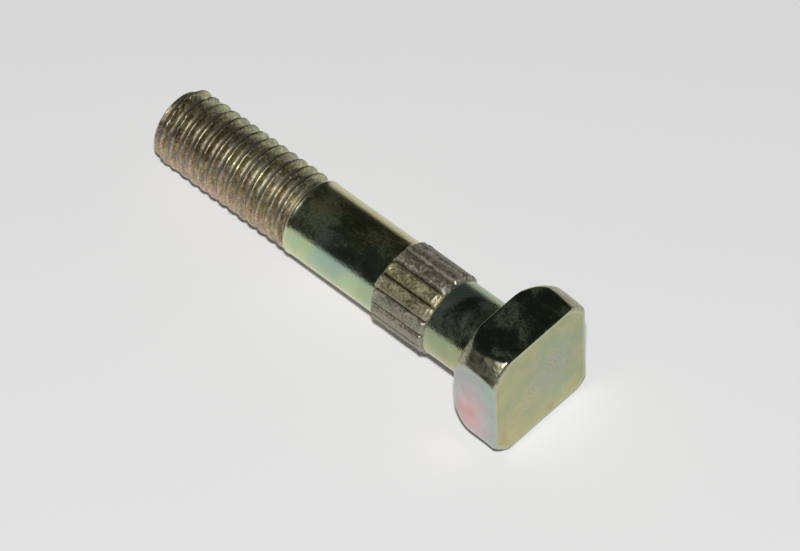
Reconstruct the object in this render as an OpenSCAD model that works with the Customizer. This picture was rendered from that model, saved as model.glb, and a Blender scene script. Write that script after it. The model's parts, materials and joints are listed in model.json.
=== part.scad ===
// Bar stud of a chainsaw: a coarse thread, a plain shank, a straight-knurled collar, a neck and a square head.
// Sizes are in millimetres. The stud lies as it comes to rest, on one flat of its head and the point of its thread.

/* [Thread] */
// Nominal diameter of the stud
nominal_d = 8; // [6:0.5:12]
// Distance from one crest to the next
pitch = 1.25; // [1:0.05:1.75]
// Length from the end face to the shoulder of the shank
thread_l = 17.5; // [12:0.5:25]
// Depth of the thread from crest to root
thread_h = 0.7; // [0.5:0.01:0.8]
// Width of the flat on a crest
crest_w = 0.25; // [0.15:0.01:0.35]
// Where the thread starts round the axis, in degrees
thread_start = 210; // [0:1:360]
// Width and height of the bevel at the end face
point_bevel = 0.65; // [0.3:0.05:1.2]
// Length of the slope where the thread runs out to the shank
runout_l = 0.6; // [0.3:0.05:1]

/* [Shank] */
// Length of the plain shank between the thread and the collar
shank_l = 11.1; // [6:0.1:20]
// Length of the plain neck between the collar and the head
neck_l = 6; // [3:0.1:12]
// Radius in the corner under the head
fillet_r = 0.6; // [0.2:0.05:1]

/* [Knurled collar] */
// Length of the collar
knurl_l = 6.6; // [4:0.1:10]
// Height of the ridges above the shank
knurl_h = 0.32; // [0.2:0.01:0.6]
// Number of ridges
ridges = 18; // [12:1:24]
// Length of the sloped ends of the ridges
knurl_lead = 0.5; // [0.2:0.05:1]

/* [Head] */
// Width across the flats
head_w = 12.75; // [11:0.05:16]
// Thickness of the head
head_t = 5; // [3:0.1:8]
// How far the corners stand out past the flats
corner_h = 1.65; // [1:0.05:2]
// How much the corners are rounded down on the shank side
seat_drop = 1.15; // [0.3:0.05:1.3]
// Length of the rounded part of the corners
seat_l = 2.2; // [1.4:0.1:2.5]
// Width of the broken edge round the outer face
edge_break = 0.25; // [0.1:0.05:0.5]

/* [Hidden] */
plated_steel = [0.62, 0.60, 0.45];
$fn = 96;
overlap = 0.5;

thread_r = nominal_d / 2 - 0.07;
shank_r = nominal_d / 2 - 0.05;
root_r = thread_r - thread_h;
flank_w = thread_h * tan(30);
knurl_r = shank_r + knurl_h;
groove_h = knurl_h * 0.9;
runout_slope = (shank_r - root_r) / runout_l;
corner_r = head_w / 2 + corner_h;
seat_r = (pow(seat_l, 2) + pow(seat_drop, 2)) / (2 * seat_drop);

knurl_z = thread_l + shank_l;
neck_z = knurl_z + knurl_l;
head_z = neck_z + neck_l;
stud_l = head_z + head_t;

// The rest pose: the back edge of a flat and the first full crest touch the floor together
crest_z = flank_w - (1.5 + thread_start / 360) * pitch;
touch_z = crest_z + ceil((point_bevel - crest_z) / pitch) * pitch;
rest_tilt = atan((head_w / 2 - thread_r) / (head_z - touch_z));
rest_z = head_w / 2 * cos(rest_tilt) - head_z * sin(rest_tilt);
back_x = -(thread_r - point_bevel) * sin(rest_tilt);
front_x = stud_l * cos(rest_tilt) + (head_w / 2 - edge_break) * sin(rest_tilt);

// Steps to one turn of the thread, and turns enough to pass both of its ends
turn_steps = 36;
turns = ceil(thread_l / pitch) + 3;
last_step = turns * turn_steps;

// One crest with its two flanks, as distance along the axis and radius
crest = [
    [0, root_r],
    [flank_w, thread_r],
    [flank_w + crest_w, thread_r],
    [2 * flank_w + crest_w, root_r]
];

function helix_point(i, j) =
    let (a = thread_start + i * 360 / turn_steps)
    [crest[j][1] * cos(a), crest[j][1] * sin(a), (i / turn_steps - 1.5) * pitch + crest[j][0]];

// The threaded rod, a little longer than the thread at both ends
module helix_rod() {
    start = 4 * (last_step + 1);
    finish = start + 1;
    points = concat(
        [for (i = [0:last_step], j = [0:3]) helix_point(i, j)],
        [[0, 0, -pitch], [0, 0, (turns - 1) * pitch]]
    );
    flanks = [
        for (i = [0:last_step - 1], j = [0:2])
            each [
                [4 * i + j, 4 * i + j + 1, 4 * i + j + 5],
                [4 * i + j, 4 * i + j + 5, 4 * i + j + 4]
            ]
    ];
    roots = [
        for (i = [0:last_step - turn_steps - 1])
            let (k = i + turn_steps)
            each [
                [4 * i + 3, 4 * k, 4 * k + 4],
                [4 * i + 3, 4 * k + 4, 4 * i + 7]
            ]
    ];
    low_edge = concat(
        [for (i = [0:turn_steps]) 4 * i],
        [3, 2, 1, 0]
    );
    high_edge = concat(
        [for (i = [last_step - turn_steps:last_step]) 4 * i + 3],
        [4 * last_step + 2, 4 * last_step + 1, 4 * last_step, 4 * (last_step - turn_steps) + 3]
    );
    low_cap = [for (k = [0:len(low_edge) - 2]) [start, low_edge[k], low_edge[k + 1]]];
    high_cap = [for (k = [0:len(high_edge) - 2]) [finish, high_edge[k + 1], high_edge[k]]];
    polyhedron(points, concat(flanks, roots, low_cap, high_cap));
}

// The thread with its flat end face and bevel; its last turn runs into the shank
module thread() {
    end_r = thread_r - point_bevel;
    length = (turns + 1) * pitch;
    intersection() {
        helix_rod();
        cylinder(h = length, r1 = end_r, r2 = end_r + length);
    }
}

// The plain shank from the run-out of the thread to the middle of the collar
module shank() {
    start_z = thread_l - runout_l - overlap;
    end_z = knurl_z + knurl_l / 2;
    rotate_extrude()
        polygon([
            [0, start_z],
            [root_r - overlap * runout_slope, start_z],
            [shank_r, thread_l],
            [shank_r, end_z],
            [0, end_z]
        ]);
}

// The neck from the middle of the collar into the head, with the rounded corner under the head
module neck() {
    rotate_extrude()
        difference() {
            union() {
                translate([0, knurl_z + knurl_l / 2])
                    square([shank_r, knurl_l / 2 + neck_l + overlap]);
                translate([0, head_z - fillet_r])
                    square([shank_r + fillet_r, fillet_r + overlap]);
            }
            translate([shank_r + fillet_r, head_z - fillet_r])
                circle(r = fillet_r);
        }
}

// The collar: wide ridges parted by V grooves, sloping down to the shank at both ends
module knurl() {
    intersection() {
        translate([0, 0, knurl_z])
            linear_extrude(knurl_l)
                difference() {
                    circle(r = knurl_r);
                    for (i = [0:ridges - 1])
                        rotate((i + 0.5) * 360 / ridges)
                            translate([knurl_r, 0])
                                rotate(45)
                                    square(groove_h * sqrt(2), center = true);
                }
        rotate_extrude()
            translate([0, knurl_z])
                polygon([
                    [0, 0],
                    [shank_r, 0],
                    [knurl_r, knurl_lead],
                    [knurl_r, knurl_l - knurl_lead],
                    [shank_r, knurl_l],
                    [0, knurl_l]
                ]);
    }
}

// A bar with one pair of the head's flats and the broken edges of its outer face
module flat_pair() {
    w = head_w / 2;
    rotate([90, 0, 0])
        linear_extrude(2 * head_w, center = true)
            polygon([
                [-w, 0],
                [w, 0],
                [w, head_t - edge_break],
                [w - edge_break, head_t],
                [edge_break - w, head_t],
                [-w, head_t - edge_break]
            ]);
}

// The blank that the head's corners are left of: rounded on the shank side, with a broken outer edge
module head_blank() {
    rotate_extrude()
        difference() {
            polygon([
                [0, 0],
                [corner_r, 0],
                [corner_r, head_t - edge_break],
                [corner_r - edge_break, head_t],
                [0, head_t]
            ]);
            difference() {
                translate([corner_r - seat_r, -overlap])
                    square([seat_r + overlap, seat_l + overlap]);
                translate([corner_r - seat_r, seat_l])
                    circle(r = seat_r);
            }
        }
}

// The square head: four flats on the round blank
module head() {
    translate([0, 0, head_z])
        intersection() {
            flat_pair();
            rotate(90)
                flat_pair();
            head_blank();
        }
}

module bar_stud() {
    color(plated_steel)
        translate([-(back_x + front_x) / 2, 0, rest_z])
            rotate([0, 90 - rest_tilt, 0]) {
                thread();
                shank();
                knurl();
                neck();
                head();
            }
}

bar_stud();
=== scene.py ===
"""Looks of the bar stud: one piece of plated steel, with a rolled thread, a shank, a knurled collar and a
square head.

The stud is worked out along its own axes, in millimetres: X runs from the end of the thread to the outer face
of the head, and the head's flats face along Y and Z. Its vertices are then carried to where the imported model
lies.
"""

import json
import math
from collections import namedtuple

import bpy
import numpy as np
from mathutils import Matrix, Vector


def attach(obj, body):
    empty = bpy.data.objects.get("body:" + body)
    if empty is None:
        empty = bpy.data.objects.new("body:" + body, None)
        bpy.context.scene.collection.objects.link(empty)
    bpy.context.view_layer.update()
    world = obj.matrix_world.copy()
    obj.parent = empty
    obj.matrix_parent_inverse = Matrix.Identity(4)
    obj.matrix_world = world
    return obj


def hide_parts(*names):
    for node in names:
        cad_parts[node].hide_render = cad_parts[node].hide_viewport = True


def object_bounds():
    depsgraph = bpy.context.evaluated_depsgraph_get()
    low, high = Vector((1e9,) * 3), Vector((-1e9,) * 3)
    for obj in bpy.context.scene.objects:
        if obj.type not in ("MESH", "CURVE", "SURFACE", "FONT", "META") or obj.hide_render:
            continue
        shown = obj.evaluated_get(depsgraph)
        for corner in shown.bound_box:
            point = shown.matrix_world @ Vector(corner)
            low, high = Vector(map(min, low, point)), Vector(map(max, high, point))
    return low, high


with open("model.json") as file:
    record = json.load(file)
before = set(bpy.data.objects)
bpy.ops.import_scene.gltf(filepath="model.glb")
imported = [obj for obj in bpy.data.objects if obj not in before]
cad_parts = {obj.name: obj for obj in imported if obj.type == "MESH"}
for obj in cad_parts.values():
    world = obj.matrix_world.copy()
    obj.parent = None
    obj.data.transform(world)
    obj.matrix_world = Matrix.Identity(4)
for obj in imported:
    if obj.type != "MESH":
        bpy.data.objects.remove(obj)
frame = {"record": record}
cad_low, cad_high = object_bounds()

MM = 0.001

# Sizes in millimetres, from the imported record

mounts = {m["name"]: m for m in frame["record"]["mounts"]}
towards_head = -Vector(mounts["shank"]["axis"]).normalized()
THREAD_L = mounts["thread"]["dims"]["length_mm"]
THREAD_R = mounts["thread"]["dims"]["r_mm"]
SHANK_L = mounts["shank"]["dims"]["length_mm"]
SHANK_R = mounts["shank"]["dims"]["r_mm"]
COLLAR_L = mounts["collar"]["dims"]["length_mm"]
COLLAR_R = mounts["collar"]["dims"]["r_mm"]
thread_end = Vector(mounts["thread"]["pos_m"]) - towards_head * THREAD_L * MM / 2
SEAT_X = (Vector(mounts["head_seat"]["pos_m"]) - thread_end).dot(towards_head) / MM
COLLAR_X = THREAD_L + SHANK_L
NECK_X = COLLAR_X + COLLAR_L
HEAD_HALF = (cad_high.y - cad_low.y) / 2 / MM

# Sizes in millimetres that the record doesn't hold

PITCH = 1.25
THREAD_H = 0.7
ROOT_HALF = 0.51
CREST_ROUND = 0.045
CREST_AT = 0.203
CREST_AT_ANGLE = 208.8
CREST_UNEVEN = 0.018
CREST_MARK = 0.13
DENT_DEPTH = 0.15
DENTS_THIN = (1.0, 4.5)
POINT_BEVEL = 0.65
END_DISH = 0.16
END_ROUND = 0.12
BEAD_X = THREAD_L - 0.1
BEAD_H = 0.09
BEAD_HALF = 0.24
BEAD_SLOPE = 1.2
SHOULDER_X = THREAD_L + 0.6
SHOULDER_DROP = 0.42
RIDGES = 16
RIDGE_START = 0.22
RIDGE_STOP = 0.5
GROOVE_HALF = 0.14
FILLET_R = 0.6
HEAD_T = 5.0
STUD_L = SEAT_X + HEAD_T
CORNER_WIDEST = 2.0
SEAT_DROP = 1.15
BACK_EDGE = 0.15
FACE_EDGE = 0.34
HEAD_UNEVEN = 0.012

# The forged head is a little uneven: how far each flat lies off its place, from the one at +Y round by +Z, and
# how far each corner stands out past the flats and draws in at the face, from the one between those two

FLATS_OFF = (0.05, 0.12, -0.12, -0.01)
CORNERS_OUT = (1.70, 1.68, 1.18, 1.95)
FACE_DROPS = (0.22, 0.45, -0.1, 0.0)

# How much of the film's colour is left on each ridge of the collar: two keep theirs, the rest have gone grey

FILM_LEFT = np.full(RIDGES, 0.15)
FILM_LEFT[4] = 1.0
FILM_LEFT[5] = 0.8

# The patch of the outer face where the film is greyer: its middle along Y and Z, and its reach

FACE_GREY_AT = (2.0, 0.3)
FACE_GREY_R = 2.6

# The darker patch on the upper side of the thread's point: between which angles round the axis, in degrees, it
# starts and stops, between which distances along the thread it thins out, and how strong it is

DARK_POINT_STARTS = (66, 84)
DARK_POINT_STOPS = (136, 158)
DARK_POINT_THINS = (6.0, 13.0)
DARK_POINT_STRENGTH = 0.72

# Columns of vertices round the axis, and how strongly they gather at grooves and corners

COLUMNS = 12 * RIDGES
GATHER = 0.6

# A ring of vertices, with the zone whose finish it has. Its four marks, from 0 to 1, say where painted shade
# lies and where the thread's point is darker, where the film is rubbed off, where the head was turned, and how
# much of its colour the film keeps

Ring = namedtuple("Ring", "zone x r angle hollow edge turned film", defaults=(0.0, 1.0))


def ease(low, high, x):
    """0 below low, 1 above high, and a soft step between."""
    t = np.clip((x - low) / (high - low), 0, 1)
    return t * t * (3 - 2 * t)


def bell(x, middle, width):
    return np.exp(-(((x - middle) / width) ** 2))


def soft_low(a, b, width):
    """The lower of two heights, with the edge between them rounded."""
    return -width * np.logaddexp(-a / width, -b / width)


def soft_high(a, b, width):
    return -soft_low(-a, -b, width)


def round_over(gap, radius):
    """How far a rounded edge draws back, at a distance from the face that it leads to."""
    g = np.clip(gap, 0, radius)
    return radius - np.sqrt(np.maximum(radius**2 - (radius - g) ** 2, 0))


def gathered(angle, times, at):
    """The same angles, drawn together at so many places round the axis, one of them at a given angle."""
    return angle - GATHER * np.sin(times * (angle - at)) / times


def unevenness(random, count, around, along):
    """A gently uneven field over the stud, mostly from -1 to 1, by the distance along it and the angle."""
    turns = random.integers(-around, around + 1, count)
    rates = random.uniform(-along, along, count)
    phases = random.uniform(0, 2 * np.pi, count)

    def field(x, angle):
        return sum(np.sin(t * angle + k * x + p) for t, k, p in zip(turns, rates, phases)) / count**0.5

    return field


def stud_place():
    """Where the stud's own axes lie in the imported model."""
    x = towards_head
    y = Vector((0, 1, 0))
    z = x.cross(y)
    place = Matrix((x, y, z)).transposed().to_4x4()
    place.translation = thread_end
    return place


def thread_form():
    """One turn of a rolled thread: distances from the middle of its crest, and the depths there. The crest is
    narrow and rounded, and the flanks run in one hollow sweep through the root."""
    count = 2048
    d = (np.arange(count) / count - 0.5) * PITCH
    across_root = np.minimum((PITCH / 2 - np.abs(d)) / ROOT_HALF, 1)
    depth = THREAD_H * (1 - across_root**2)
    blur = np.exp(-0.5 * (2 * np.pi * np.fft.fftfreq(count, PITCH / count) * CREST_ROUND) ** 2)
    depth = np.fft.ifft(np.fft.fft(depth) * blur).real
    return d, depth - depth.min()


THREAD_D, THREAD_DEPTH = thread_form()


def end_rings(angle):
    """The end face of the thread, a little hollow as rolling leaves it."""
    end_r = THREAD_R - POINT_BEVEL
    rings = []
    for share in (0.07, 0.18, 0.3, 0.45, 0.6, 0.73, 0.84, 0.92, 0.96):
        x = END_DISH * (1 - share**2)
        rings.append(Ring("end", x, share * end_r, angle, 0.0, 0.0))
    return rings


def thread_rings(angle, random):
    """The thread, from the bevel at its end to where the last turn runs out at the shoulder of the shank.
    Painted shade lies along its crests, but not on the side that faces -Y, the upper side of its point is
    darker, and its roots are rubbed."""
    uneven = unevenness(random, 60, 24, 6.0)
    dents = unevenness(random, 40, 20, 4.0)
    place = np.degrees(np.mod(angle, 2 * np.pi))
    # The upper side of the point is made darker, between these angles round the axis
    dark_point = DARK_POINT_STRENGTH * ease(*DARK_POINT_STARTS, place) * (1 - ease(*DARK_POINT_STOPS, place))
    rings = []
    for x in np.concatenate([[0.0, 0.015, 0.05], np.arange(0.1, SHOULDER_X, PITCH / 20)]):
        turn = (x - CREST_AT) / PITCH - (np.degrees(angle) - CREST_AT_ANGLE) / 360
        d = (turn - np.round(turn)) * PITCH
        depth = np.interp(d, THREAD_D, THREAD_DEPTH)
        crest = 1 - ease(0.2, 0.5, depth / THREAD_H)
        worn = ease(0.3, 1.0, dents(x, angle)) * (1 - ease(*DENTS_THIN, x))
        depth = depth + crest * (CREST_UNEVEN * uneven(x, angle) + DENT_DEPTH * worn)
        r = soft_low(THREAD_R - depth, THREAD_R - POINT_BEVEL + x, 0.03)
        if x > THREAD_L - PITCH:
            bead = BEAD_H * bell(x, BEAD_X, BEAD_HALF)
            lip = SHANK_R + soft_low(bead, BEAD_H + BEAD_SLOPE * (x - BEAD_X), 0.04)
            fade = ease(THREAD_L - 0.7 * PITCH, THREAD_L, x)
            shoulder = SHANK_R - SHOULDER_DROP * (1.8 - 0.8 * fade)
            r = soft_high(r - fade * THREAD_H, max(lip, shoulder), 0.02)
        r = r - round_over(x, END_ROUND)
        # Painted shade along the crests, kept off the side that faces -Y, and the darker upper side of the
        # point
        hollow = bell(d, -0.02, CREST_MARK) * ease(-3.9, -2.6, r * np.cos(angle)) * ease(0.3, 0.8, x)
        hollow = np.maximum(hollow, dark_point * (1 - ease(*DARK_POINT_THINS, x)))
        zone = "thread" if x < THREAD_L - 0.15 else "shank"
        root = bell(np.abs(d), PITCH / 2, 0.2)
        edge = root if zone == "thread" else 0.8 * bell(x, BEAD_X + 0.2, 0.25)
        rings.append(Ring(zone, x, r, angle, hollow, edge))
    return rings


def shank_rings(angle):
    stops = np.concatenate([np.linspace(SHOULDER_X + 0.1, COLLAR_X - 0.35, 14), [COLLAR_X - 0.15]])
    return [Ring("shank", x, SHANK_R, angle, 0.0, 0.0) for x in stops]


def collar_rings(angle, random):
    """Wide rolled ridges with narrow grooves between them, upset at their ends where the metal was pushed up.
    The collar's finish starts where the ridges have risen."""
    height = 1 + random.uniform(-0.12, 0.08, RIDGES)
    starts = COLLAR_X + random.uniform(-0.05, 0.15, RIDGES)
    stops = NECK_X + random.uniform(-0.2, 0.06, RIDGES)
    start_lump = random.uniform(0.0, 0.25, RIDGES)
    stop_lump = random.uniform(0.0, 0.2, RIDGES)
    uneven = unevenness(random, 60, 40, 4.0)
    spacing = 2 * np.pi / RIDGES
    turn = angle / spacing - 0.5
    nudge = 1e-6
    ridge = np.floor(turn + nudge).astype(int) % RIDGES
    side = np.mod(turn, 1)
    d = np.minimum(side, 1 - side) * spacing * COLLAR_R
    half = spacing * COLLAR_R / 2
    groove = bell(d, 0, GROOVE_HALF)
    start, stop = starts[ridge], stops[ridge]
    rings = []
    for x in np.concatenate(
        [np.linspace(COLLAR_X, COLLAR_X + 1, 14), np.linspace(COLLAR_X + 1.3, NECK_X - 1.4, 14),
         np.linspace(NECK_X - 1.15, NECK_X + 0.05, 17)]
    ):
        run = ease(start, start + RIDGE_START, x) * (1 - ease(stop - RIDGE_STOP, stop, x))
        top = height[ridge] - 0.12 * (1 - d / half) ** 2 + 0.06 * uneven(x, angle)
        lumps = stop_lump[ridge] * bell(x, stop - 0.45, 0.16)
        lumps = lumps + start_lump[ridge] * bell(x, start + 0.35, 0.16)
        form = top - 1.15 * groove + lumps * ease(0.15, 0.5, d)
        r = SHANK_R + (COLLAR_R - SHANK_R) * run * form
        ends = np.maximum(bell(x, stop - 0.3, 0.2), 4 * start_lump[ridge] * bell(x, start + 0.3, 0.2))
        zone = "collar" if x > COLLAR_X + 0.1 else "shank"
        # The grooves carry painted shade, as far as the ridges have risen
        rings.append(Ring(zone, x, r, angle, groove * run, ends * (1 - groove), 0.0, FILM_LEFT[ridge]))
    return rings


def neck_rings(angle, head_angle):
    """The neck, along which the columns of vertices move over to where the head needs them, and the corner
    under the head."""
    rings = []
    for x in np.linspace(NECK_X + 0.25, SEAT_X - FILLET_R - 0.1, 10):
        turned = angle + (head_angle - angle) * ease(NECK_X + 0.3, SEAT_X - FILLET_R - 0.2, x)
        rings.append(Ring("neck", x, SHANK_R, turned, 0.0, 0.0))
    for a in np.linspace(0, np.pi / 2, 8):
        x = SEAT_X - FILLET_R + FILLET_R * math.sin(a)
        r = SHANK_R + FILLET_R - FILLET_R * math.cos(a)
        # Painted shade, deepening into the corner under the head
        rings.append(Ring("neck", x, r, head_angle, 0.7 * math.sin(a), 0.0))
    return rings


def corner_radius(up, angle):
    """The head's corners are turned to a barrel form: widest near the middle, drawn in at seat and face."""
    below = np.maximum(CORNER_WIDEST - up, 0) / CORNER_WIDEST
    above = np.maximum(up - CORNER_WIDEST, 0) / (HEAD_T - CORNER_WIDEST)
    corner = np.floor(angle / (np.pi / 2)).astype(int) % 4
    widest = HEAD_HALF + np.array(CORNERS_OUT)[corner]
    return widest - SEAT_DROP * below**2.2 - np.array(FACE_DROPS)[corner] * above**2


def flat_distance(angle):
    """How far out the four flats lie, seen along each angle."""
    least = 0.1
    sides = [
        (HEAD_HALF + off) / np.maximum(np.cos(angle - k * np.pi / 2), least) for k, off in enumerate(FLATS_OFF)
    ]
    return np.min(sides, axis=0)


def head_rings(angle, random):
    """The seat, the sides with their four flats and four corners, and the outer face."""
    uneven = unevenness(random, 40, 12, 1.6)
    flat = flat_distance(angle)

    def outline(up):
        return soft_low(flat, corner_radius(up, angle), 0.08) + HEAD_UNEVEN * (uneven(up, angle) - 1)

    def border(up):
        return bell(flat - corner_radius(up, angle), 0, 0.3)

    rings = []
    inner = SHANK_R + FILLET_R
    rim = outline(0.0) - BACK_EDGE
    for share in (0.15, 0.4, 0.65, 0.85, 1.0):
        r = inner + (rim - inner) * share
        # Painted shade towards the inner corner, where the seat meets the neck
        rings.append(Ring("seat", SEAT_X, r, angle, 0.5 * (1 - share), 0.3 * share))
    ups = np.concatenate(
        [BACK_EDGE * (1 - np.cos(np.linspace(0.3, np.pi / 2, 6))), np.linspace(0.35, HEAD_T - 0.55, 26),
         HEAD_T - FACE_EDGE * (1 - np.cos(np.linspace(np.pi / 2, 0.0, 9)))]
    )
    for up in ups:
        r = outline(up) - round_over(up, BACK_EDGE) - round_over(HEAD_T - up, FACE_EDGE)
        edge = np.maximum(border(up), max(bell(up, 0, 0.2), bell(up, HEAD_T, 0.3)))
        turned = ease(-0.05, 0.25, flat - corner_radius(up, angle))
        rings.append(Ring("sides", SEAT_X + up, r, angle, 0.0, edge, turned))
    rim = rings[-1].r
    for share in (0.985, 0.96, 0.92, 0.86, 0.79, 0.71, 0.62, 0.53, 0.44, 0.35, 0.26, 0.18, 0.1, 0.04):
        r = rim * share
        away = np.hypot(r * np.cos(angle) - FACE_GREY_AT[0], r * np.sin(angle) - FACE_GREY_AT[1])
        film = 1 - bell(away, 0, FACE_GREY_R)
        rings.append(Ring("face", STUD_L, r, angle, 0.0, ease(0.93, 1.0, share), 0.0, film))
    return rings


def make_stud(materials):
    """The whole stud as one closed skin, with a finish for each of its zones."""
    random = np.random.default_rng(7)
    around = np.arange(COLUMNS) * 2 * np.pi / COLUMNS
    angle = gathered(around, RIDGES, math.pi / RIDGES)
    head_angle = gathered(around, 4, math.pi / 4)
    rings = (
        end_rings(angle) + thread_rings(angle, random) + shank_rings(angle) + collar_rings(angle, random)
        + neck_rings(angle, head_angle) + head_rings(head_angle, random)
    )

    one = np.ones(COLUMNS)
    points = [np.stack([k.x * one, k.r * np.cos(k.angle), k.r * np.sin(k.angle)], 1) for k in rings]
    verts = np.concatenate([[[END_DISH, 0, 0]], *points, [[STUD_L, 0, 0]]])
    verts = verts * MM @ np.array(stud_place().to_3x3()).T + np.array(thread_end)

    index = 1 + np.arange(len(rings) * COLUMNS).reshape(len(rings), COLUMNS)
    ahead = np.roll(index, -1, axis=1)
    quads = np.stack([index[:-1], ahead[:-1], ahead[1:], index[1:]], -1).reshape(-1, 4)
    first, last = np.zeros(COLUMNS, int), np.full(COLUMNS, len(verts) - 1)
    faces = np.stack([first, ahead[0], index[0]], 1).tolist() + quads.tolist()
    faces += np.stack([index[-1], ahead[-1], last], 1).tolist()
    names = list(materials)
    zones = [k.zone for k in rings] + [rings[-1].zone]

    mesh = bpy.data.meshes.new("bar_stud_skin")
    mesh.from_pydata(verts.tolist(), [], faces)
    for name in names:
        mesh.materials.append(materials[name])
    mesh.polygons.foreach_set("material_index", np.repeat([names.index(z) for z in zones], COLUMNS))
    for mark in ("hollow", "edge", "turned", "film"):
        marks = [getattr(k, mark) * one for k in rings]
        values = np.concatenate([[0.0], *marks, [marks[-1].mean()]])
        mesh.attributes.new(mark, "FLOAT", "POINT").data.foreach_set("value", values)
    mesh.shade_smooth()
    stud = bpy.data.objects.new("bar_stud_skin", mesh)
    bpy.context.scene.collection.objects.link(stud)
    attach(stud, "root")
    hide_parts("bar_stud")
    return stud


# Nodes

def add(tree, kind, inputs=None, **settings):
    """A node with its settings, and with values or other nodes' outputs in its inputs."""
    node = tree.nodes.new(kind)
    for name, value in settings.items():
        setattr(node, name, value)
    for name, value in (inputs or {}).items():
        if isinstance(value, bpy.types.NodeSocket):
            tree.links.new(value, node.inputs[name])
        else:
            node.inputs[name].default_value = value
    return node


def calc(tree, operation, *values):
    return add(tree, "ShaderNodeMath", dict(enumerate(values)), operation=operation).outputs[0]


def noise(tree, point, size, detail=2.0, roughness=0.5, distortion=0.0):
    """Noise from 0 to 1 whose lumps are about so many millimetres wide."""
    inputs = {
        "Vector": point, "Scale": calc(tree, "DIVIDE", 1.0, size), "Detail": detail,
        "Roughness": roughness, "Distortion": distortion,
    }
    return add(tree, "ShaderNodeTexNoise", inputs).outputs[0]


def spread(tree, value, low, high, to_low=0.0, to_high=1.0):
    """A soft step of a value from one range to another."""
    inputs = {"Value": value, "From Min": low, "From Max": high, "To Min": to_low, "To Max": to_high}
    return add(tree, "ShaderNodeMapRange", inputs, interpolation_type="SMOOTHSTEP").outputs[0]


def mix(tree, share, first, second, how="MIX"):
    """Two colours mixed."""
    inputs = {0: share, 6: first, 7: second}
    return add(tree, "ShaderNodeMix", inputs, data_type="RGBA", blend_type=how).outputs[2]


def new_group(name, inputs, outputs):
    """An empty node group with named sockets: its tree, its inputs by name, and its output node."""
    tree = bpy.data.node_groups.new(name, "ShaderNodeTree")
    for way, sockets in (("INPUT", inputs), ("OUTPUT", outputs)):
        for socket, kind in sockets.items():
            tree.interface.new_socket(name=socket, in_out=way, socket_type="NodeSocket" + kind)
    return tree, tree.nodes.new("NodeGroupInput").outputs, tree.nodes.new("NodeGroupOutput")


def stud_point(tree):
    """Where a point of the surface lies in the stud's own axes, in millimetres."""
    inward = stud_place().inverted()
    inputs = {
        "Vector": add(tree, "ShaderNodeTexCoord").outputs["Object"],
        "Location": inward.translation / MM,
        "Rotation": inward.to_euler(),
        "Scale": (1 / MM, 1 / MM, 1 / MM),
    }
    return add(tree, "ShaderNodeMapping", inputs).outputs[0]


# The colours that the chromate film takes as it grows thicker, before they come round again

FILM_COLORS = (
    (0.00, (0.66, 0.64, 0.34)),
    (0.18, (0.66, 0.52, 0.31)),
    (0.38, (0.85, 0.51, 0.49)),
    (0.55, (0.58, 0.57, 0.57)),
    (0.70, (0.42, 0.58, 0.50)),
    (0.86, (0.50, 0.62, 0.36)),
    (1.00, (0.66, 0.64, 0.34)),
)


def chromate_film():
    """The film's colour: its thickness starts from a value at one spot, changes away from it, and drifts."""
    inputs = {
        "Point": "Vector", "Spot": "Vector", "Reach": "Vector", "Film": "Float", "Change": "Float",
        "Drift": "Float", "Drift Size": "Float",
    }
    tree, get, put = new_group("chromate_film", inputs, {"Color": "Color"})
    away = add(tree, "ShaderNodeVectorMath", {0: get["Point"], 1: get["Spot"]}, operation="SUBTRACT")
    away = add(tree, "ShaderNodeVectorMath", {0: away.outputs[0], 1: get["Reach"]}, operation="DIVIDE")
    away = add(tree, "ShaderNodeVectorMath", {0: away.outputs[0]}, operation="LENGTH").outputs["Value"]
    drift = noise(tree, get["Point"], get["Drift Size"], 3.0, 0.55, 0.7)
    drift = calc(tree, "MULTIPLY", calc(tree, "SUBTRACT", drift, 0.5), get["Drift"])
    film = calc(tree, "MULTIPLY_ADD", away, get["Change"], get["Film"])
    film = calc(tree, "FRACT", calc(tree, "ADD", film, drift))
    ramp = add(tree, "ShaderNodeValToRGB", {0: film})
    stops = ramp.color_ramp.elements
    while len(stops) < len(FILM_COLORS):
        stops.new(0.5)
    for stop, (place, color) in zip(stops, FILM_COLORS):
        stop.position = place
        stop.color = (*color, 1)
    tree.links.new(ramp.outputs[0], put.inputs["Color"])
    return tree


def mottle():
    """Clouded, grainy patches where the plating has gone matt."""
    inputs = {
        "Point": "Vector", "Cloud Size": "Float", "Grain Size": "Float", "Grain Share": "Float",
        "Cover": "Float",
    }
    tree, get, put = new_group("mottle", inputs, {"Matt": "Float", "Clouds": "Float", "Grain": "Float"})
    clouds = spread(tree, noise(tree, get["Point"], get["Cloud Size"], 4.0, 0.6, 0.6), 0.3, 0.7)
    grain = spread(tree, noise(tree, get["Point"], get["Grain Size"], 3.0, 0.6), 0.3, 0.7)
    level = calc(tree, "MULTIPLY_ADD", calc(tree, "SUBTRACT", grain, clouds), get["Grain Share"], clouds)
    level = calc(tree, "ADD", level, get["Cover"])
    tree.links.new(spread(tree, level, 0.2, 1.0), put.inputs["Matt"])
    tree.links.new(clouds, put.inputs["Clouds"])
    tree.links.new(grain, put.inputs["Grain"])
    return tree


def edge_wear():
    """Where the film is rubbed off, at edges and in the thread's roots, in a broken line."""
    tree, get, put = new_group("edge_wear", {"Point": "Vector", "Break Up": "Float"}, {"Wear": "Float"})
    edge = add(tree, "ShaderNodeAttribute", attribute_name="edge").outputs["Fac"]
    broken = calc(tree, "SUBTRACT", noise(tree, get["Point"], 0.5, 3.0, 0.6), 0.5)
    level = calc(tree, "MULTIPLY_ADD", broken, get["Break Up"], edge)
    tree.links.new(spread(tree, level, 0.35, 0.85), put.inputs["Wear"])
    return tree


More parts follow.
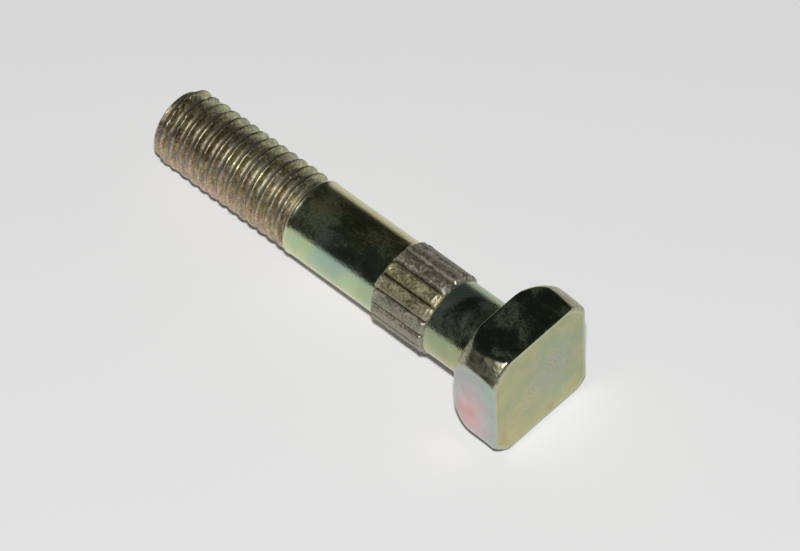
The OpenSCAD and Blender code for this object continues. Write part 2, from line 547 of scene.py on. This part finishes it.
def groove_dirt():
    """Painted shade on the thread's crests, in the collar's grooves and in inner corners, the darker upper
    side of the thread's point, and a softer painted shade round them.
    """
    inputs = {"Point": "Vector", "Depth": "Float", "Break Up": "Float"}
    tree, get, put = new_group("groove_dirt", inputs, {"Dirt": "Float", "Stain": "Float"})
    hollow = add(tree, "ShaderNodeAttribute", attribute_name="hollow").outputs["Fac"]
    broken = calc(tree, "SUBTRACT", noise(tree, get["Point"], 0.7, 3.0, 0.6), 0.5)
    level = calc(tree, "MULTIPLY_ADD", broken, get["Break Up"], hollow)
    tree.links.new(spread(tree, level, get["Depth"], 1.0), put.inputs["Dirt"])
    tree.links.new(spread(tree, level, 0.3, 0.9), put.inputs["Stain"])
    return tree


def rolled_marks():
    """Fine marks that run round the axis, as rolling leaves them."""
    inputs = {"Point": "Vector", "Mark Width": "Float", "Mark Length": "Float"}
    tree, get, put = new_group("rolled_marks", inputs, {"Marks": "Float"})
    part = add(tree, "ShaderNodeSeparateXYZ", {0: get["Point"]}).outputs
    turn = calc(tree, "ARCTAN2", part["Y"], part["Z"])
    around = calc(tree, "DIVIDE", calc(tree, "MULTIPLY", turn, SHANK_R), get["Mark Length"])
    along = calc(tree, "DIVIDE", part["X"], get["Mark Width"])
    place = add(tree, "ShaderNodeCombineXYZ", {0: along, 1: around}).outputs[0]
    tree.links.new(spread(tree, noise(tree, place, 1.0, 3.0, 0.6), 0.3, 0.7), put.inputs["Marks"])
    return tree


def turned_rings():
    """Faint rings round the axis, as a facing cut leaves them."""
    inputs = {"Point": "Vector", "Ring Width": "Float"}
    tree, get, put = new_group("turned_rings", inputs, {"Rings": "Float"})
    flat = add(tree, "ShaderNodeVectorMath", {0: get["Point"], 1: (0, 1, 1)}, operation="MULTIPLY")
    out = add(tree, "ShaderNodeVectorMath", {0: flat.outputs[0]}, operation="LENGTH").outputs["Value"]
    wobble = calc(tree, "MULTIPLY", noise(tree, get["Point"], 4.0), 0.9)
    rings = calc(tree, "DIVIDE", calc(tree, "ADD", out, wobble), get["Ring Width"])
    wave = calc(tree, "SINE", calc(tree, "MULTIPLY", rings, 2 * math.pi))
    wave = calc(tree, "MULTIPLY_ADD", wave, 0.5, 0.5)
    patches = spread(tree, noise(tree, get["Point"], 1.5), 0.3, 0.7)
    faint = calc(tree, "MULTIPLY", patches, spread(tree, out, 6.0, 1.5))
    tree.links.new(calc(tree, "MULTIPLY", wave, faint), put.inputs["Rings"])
    return tree


def turned_marks():
    """The turned corners of the head, and the fine marks that the cut left round them."""
    inputs = {"Point": "Vector", "Mark Width": "Float"}
    tree, get, put = new_group("turned_marks", inputs, {"Turned": "Float", "Marks": "Float"})
    turned = add(tree, "ShaderNodeAttribute", attribute_name="turned").outputs["Fac"]
    drawn = add(tree, "ShaderNodeVectorMath", {0: get["Point"], 1: (0.3, 1, 1)}, operation="MULTIPLY")
    marks = spread(tree, noise(tree, drawn.outputs[0], get["Mark Width"], 3.0, 0.6), 0.35, 0.7)
    patches = spread(tree, noise(tree, get["Point"], 0.7, 3.0, 0.6), 0.3, 0.7, 0.5, 1.0)
    tree.links.new(calc(tree, "MULTIPLY", turned, patches), put.inputs["Turned"])
    tree.links.new(calc(tree, "MULTIPLY", marks, turned), put.inputs["Marks"])
    return tree


class Finish:
    """A plating in the making: its material's nodes, and where its surface lies in the stud's own axes."""

    def __init__(self, name, groups):
        self.material = bpy.data.materials.new(name)
        self.material.use_nodes = True
        self.tree = self.material.node_tree
        self.shader = self.tree.nodes["Principled BSDF"]
        self.groups = groups
        self.point = stud_point(self.tree)

    def use(self, name, **values):
        """One of the shared effects in this finish, with the finish's own values: its outputs by name."""
        inputs = {key.replace("_", " ").title(): value for key, value in values.items()}
        inputs["Point"] = self.point
        return add(self.tree, "ShaderNodeGroup", inputs, node_tree=self.groups[name]).outputs

    def set(self, socket, value):
        self.tree.links.new(value, self.shader.inputs[socket])


# Colours of the marks of making, of what lies on the plating, and of the painted shade

ROLLED_COLOR = (0.15, 0.14, 0.11, 1)
TURNED_COLOR = (0.55, 0.49, 0.31, 1)
TURNED_MARK_COLOR = (0.12, 0.11, 0.08, 1)
# Painted shade: its soft, wide part, and its dark core
SOFT_SHADE_COLOR = (0.13, 0.095, 0.055, 1)
PAINTED_SHADE_COLOR = (0.03, 0.026, 0.02, 1)
RING_COLOR = (0.37, 0.33, 0.31, 1)


def plating(
    groups, name, film, patches, roughness, metallic, shade=1.0, dull=0.0, painted_shade=0.0, wear=0.0, rings=0.0,
    rolled=0.0, corners=0.0, haze=0.0, speckle=0.0, faded=0.0, grain_mm=0.01, bare=(0.78, 0.75, 0.64),
    grey=(0.40, 0.375, 0.32),
):
    """A chromated zinc plating. film and patches hold the values of those two effects. roughness and metallic
    are given where the plating is clear and where it is matt. bare and grey are its colours where the film is
    rubbed off and where it has gone grey. The rest is how strongly each effect shows, one of them being the
    painted shade on the marked crests, grooves and corners."""
    made = Finish(name, groups)
    tree = made.tree
    color = made.use("chromate_film", **film)["Color"]
    patch = made.use("mottle", **patches)
    matt, cloudy, height = patch["Matt"], patch["Matt"], patch["Grain"]
    tone = calc(tree, "MULTIPLY_ADD", patch["Clouds"], 0.2 * shade, 0.9 * shade)
    if speckle:
        grain = calc(tree, "SUBTRACT", patch["Grain"], 0.5)
        tone = calc(tree, "MULTIPLY_ADD", grain, speckle * shade, tone)
    if dull or faded:
        share = spread(tree, patch["Clouds"], 0.35, 0.7, 0.0, dull)
        if faded:
            left = add(tree, "ShaderNodeAttribute", attribute_name="film").outputs["Fac"]
            share = calc(tree, "MAXIMUM", share, calc(tree, "MULTIPLY_ADD", left, -faded, faded))
        color = mix(tree, share, color, (*grey, 1))
    color = mix(tree, 1.0, color, tone, "MULTIPLY")
    if rolled:
        marks = made.use("rolled_marks", mark_width=0.13, mark_length=1.3)["Marks"]
        height = calc(tree, "MULTIPLY_ADD", marks, rolled, height)
        color = mix(tree, calc(tree, "MULTIPLY", marks, 0.5), color, ROLLED_COLOR)
    if corners:
        turned = made.use("turned_marks", mark_width=0.35)
        matt = calc(tree, "MAXIMUM", matt, calc(tree, "MULTIPLY", turned["Turned"], corners))
        color = mix(tree, calc(tree, "MULTIPLY", turned["Turned"], 0.9), color, TURNED_COLOR)
        color = mix(tree, calc(tree, "MULTIPLY", turned["Marks"], 0.6), color, TURNED_MARK_COLOR)
    if wear:
        mask = calc(tree, "MULTIPLY", made.use("edge_wear", break_up=0.9)["Wear"], wear)
        color = mix(tree, mask, color, (*bare, 1))
        matt = calc(tree, "MAXIMUM", matt, mask)
    rough = spread(tree, matt, 0.0, 1.0, *roughness)
    # Painted shade on the marked crests, grooves and corners, and on the darker upper side of the thread's
    # point: a soft wide part, then a dark, slightly rougher core
    if painted_shade:
        grooves = made.use("groove_dirt", depth=0.72 if rolled else 0.42, break_up=0.3 + 0.5 * rolled)
        color = mix(tree, calc(tree, "MULTIPLY", grooves["Stain"], 0.7 * painted_shade), color, SOFT_SHADE_COLOR)
        mask = calc(tree, "MULTIPLY", grooves["Dirt"], painted_shade)
        color = mix(tree, mask, color, PAINTED_SHADE_COLOR)
        rough = calc(tree, "MULTIPLY_ADD", mask, 0.2, rough)
    if rings:
        turned = made.use("turned_rings", ring_width=0.45)["Rings"]
        height = calc(tree, "MULTIPLY_ADD", turned, 2.0 * rings, height)
        color = mix(tree, calc(tree, "MULTIPLY", turned, rings), color, RING_COLOR)
    made.set("Base Color", color)
    made.set("Roughness", rough)
    made.set("Metallic", spread(tree, matt, 0.0, 1.0, *metallic))
    if haze:
        made.set("Coat Weight", calc(tree, "MULTIPLY", cloudy, haze))
        made.shader.inputs["Coat Roughness"].default_value = 0.55
    bump = {"Height": height, "Distance": grain_mm * MM, "Strength": 1.0}
    made.set("Normal", add(tree, "ShaderNodeBump", bump).outputs[0])
    return made.material


def film_from(spot, film, change, drift, drift_size, reach=(1, 1, 1)):
    """Values of the film: its thickness at a spot, its change away from there, and its drift."""
    return {
        "spot": spot, "reach": reach, "film": film, "change": change, "drift": drift, "drift_size": drift_size,
    }


def patches_of(cloud_size, grain_size, grain_share, cover):
    """Values of the matt patches: their sizes, the grain's share of them, and how far they spread."""
    return {"cloud_size": cloud_size, "grain_size": grain_size, "grain_share": grain_share, "cover": cover}


def make_materials():
    """The finishes of the zones: the same plating, as it took on rolled, drawn, knurled and forged steel."""
    makers = (chromate_film, mottle, edge_wear, groove_dirt, rolled_marks, turned_rings, turned_marks)
    groups = {maker.__name__: maker() for maker in makers}
    thread = plating(
        groups, "thread_plating", film_from((7, -3.9, -1), 0.25, -0.034, 0.7, 1.8, (5, 1, 1)),
        patches_of(1.2, 0.24, 0.5, 0.0), (0.36, 0.52), (1.0, 0.88), 1.0, dull=0.55, painted_shade=0.8, wear=0.9,
        rolled=1.2, speckle=0.7, grain_mm=0.014, bare=(0.19, 0.185, 0.165),
    )
    shank = plating(
        groups, "shank_plating", film_from((24.5, -3.2, 2.3), 0.7, 0.04, 0.45, 3.0, (1.4, 0.7, 0.7)),
        patches_of(6.0, 0.26, 0.35, -0.05), (0.18, 0.24), (1.0, 0.95), 0.95, wear=0.5, haze=0.25,
        grain_mm=0.006,
    )
    neck = plating(
        groups, "neck_plating", film_from((36.4, -1.0, 3.8), 0.66, 0.055, 0.3, 3.0),
        patches_of(4.0, 0.26, 0.22, 0.25), (0.16, 0.24), (1.0, 0.93), 0.72, painted_shade=0.4, haze=0.3,
        grain_mm=0.005,
    )
    collar = plating(
        groups, "collar_plating", film_from((31.5, -2.0, 3.7), 1.04, 0.02, 0.3, 1.5, (4, 1, 1)),
        patches_of(1.4, 0.26, 0.5, 0.05), (0.42, 0.58), (0.88, 0.66), 0.47, dull=0.1, painted_shade=0.9, wear=0.15,
        speckle=0.5, faded=0.85, grain_mm=0.016, grey=(0.68, 0.667, 0.562),
    )
    head = plating(
        groups, "head_plating", film_from((43.0, -6.25, -1.6), 0.37, 0.22, 0.25, 3.0, (2.8, 8, 5)),
        patches_of(3.0, 0.26, 0.3, -0.08), (0.16, 0.34), (1.0, 0.96), 0.85, wear=0.15, corners=1.0,
        haze=0.08, grain_mm=0.008,
    )
    face = plating(
        groups, "face_plating", film_from((46.2, 2.0, 1.0), 0.86, 0.02, 0.45, 2.2),
        patches_of(3.0, 0.3, 0.5, -0.1), (0.32, 0.42), (1.0, 0.94), 0.7, wear=0.25, rings=0.8, faded=0.6,
        grey=(0.62, 0.625, 0.55),
    )
    seat = plating(
        groups, "seat_plating", film_from((41.2, 0, 0), 0.85, 0.05, 0.3, 4.0),
        patches_of(3.0, 0.3, 0.5, 0.0), (0.3, 0.5), (1.0, 0.85), 0.8, painted_shade=0.5, rings=0.5,
    )
    end = plating(
        groups, "end_plating", film_from((0, 0, 0), 0.95, 0.05, 0.5, 2.5),
        patches_of(2.0, 0.3, 0.5, 0.1), (0.3, 0.5), (0.95, 0.7), 0.8, wear=0.3, rings=0.5, speckle=0.4,
        grain_mm=0.015,
    )
    return {
        "end": end, "thread": thread, "shank": shank, "collar": collar,
        "neck": neck, "seat": seat, "sides": head, "face": face,
    }


# The floor, the camera and the light, these two in the stud's own axes

FLOOR_COLOR = (0.78, 0.78, 0.78, 1)
FLOOR_GLOW = 0.07
ROOM_COLOR = (0.016, 0.016, 0.0145, 1)


def make_floor():
    """A wide sheet of pale paper. What the lens or bare metal sees of it is a little lighter than the lamp
    makes it."""
    half = 6.0
    corners = [(-half, -half, 0), (half, -half, 0), (half, half, 0), (-half, half, 0)]
    mesh = bpy.data.meshes.new("floor")
    mesh.from_pydata(corners, [], [(0, 1, 2, 3)])
    floor = bpy.data.objects.new("floor", mesh)
    material = bpy.data.materials.new("floor_paper")
    material.use_nodes = True
    tree = material.node_tree
    shader = tree.nodes["Principled BSDF"]
    shader.inputs["Base Color"].default_value = FLOOR_COLOR
    shader.inputs["Roughness"].default_value = 0.9
    shader.inputs["Specular IOR Level"].default_value = 0.1
    rays = add(tree, "ShaderNodeLightPath").outputs
    seen = calc(tree, "MAXIMUM", rays["Is Camera Ray"], rays["Is Glossy Ray"])
    seen = calc(tree, "MAXIMUM", seen, rays["Is Transmission Ray"])
    shader.inputs["Emission Color"].default_value = (1, 1, 1, 1)
    tree.links.new(calc(tree, "MULTIPLY", seen, FLOOR_GLOW), shader.inputs["Emission Strength"])
    mesh.materials.append(material)
    bpy.context.scene.collection.objects.link(floor)


CAMERA_AT = Vector((353.135, -325.706, 583.546))
CAMERA_LOOKS = Vector((-0.43711, 0.43878, -0.78512))
CAMERA_UP = Vector((-0.52421, 0.58504, 0.61881))
LAMP_ABOVE = 80.0
LAMP_R = 20.0
LIGHT_LEVEL = 3.0
FOCAL_PX = 8000.0
PHOTO_W = 800.0


def facing(looks, up):
    """A turn that points an object's -Z along looks and its +Y near up."""
    back = -looks.normalized()
    right = up.cross(back).normalized()
    return Matrix((right, back.cross(right), back)).transposed().to_4x4()


def make_camera():
    camera = bpy.data.cameras.new("camera")
    camera.sensor_fit = "HORIZONTAL"
    camera.sensor_width = 36.0
    camera.lens = FOCAL_PX / PHOTO_W * camera.sensor_width
    camera.clip_start = 0.01
    camera.clip_end = 50.0
    seen_from = bpy.data.objects.new("camera", camera)
    place = facing(CAMERA_LOOKS, CAMERA_UP)
    place.translation = CAMERA_AT * MM
    seen_from.matrix_world = stud_place() @ place
    bpy.context.scene.collection.objects.link(seen_from)
    bpy.context.scene.camera = seen_from


def make_light():
    """A lamp close above the camera, in a dim room."""
    lamp = bpy.data.lights.new("key_light", "POINT")
    lamp.shadow_soft_size = LAMP_R * MM
    key = bpy.data.objects.new("key_light", lamp)
    key.location = stud_place() @ ((CAMERA_AT + LAMP_ABOVE * CAMERA_UP) * MM)
    lamp.energy = LIGHT_LEVEL * 4 * math.pi * key.location.length_squared
    bpy.context.scene.collection.objects.link(key)

    world = bpy.data.worlds.new("dim_room")
    world.use_nodes = True
    world.node_tree.nodes["Background"].inputs["Color"].default_value = ROOM_COLOR
    bpy.context.scene.world = world


make_camera()
make_light()
make_floor()
make_stud(make_materials())

view = bpy.context.scene.view_settings
view.view_transform = "Standard"
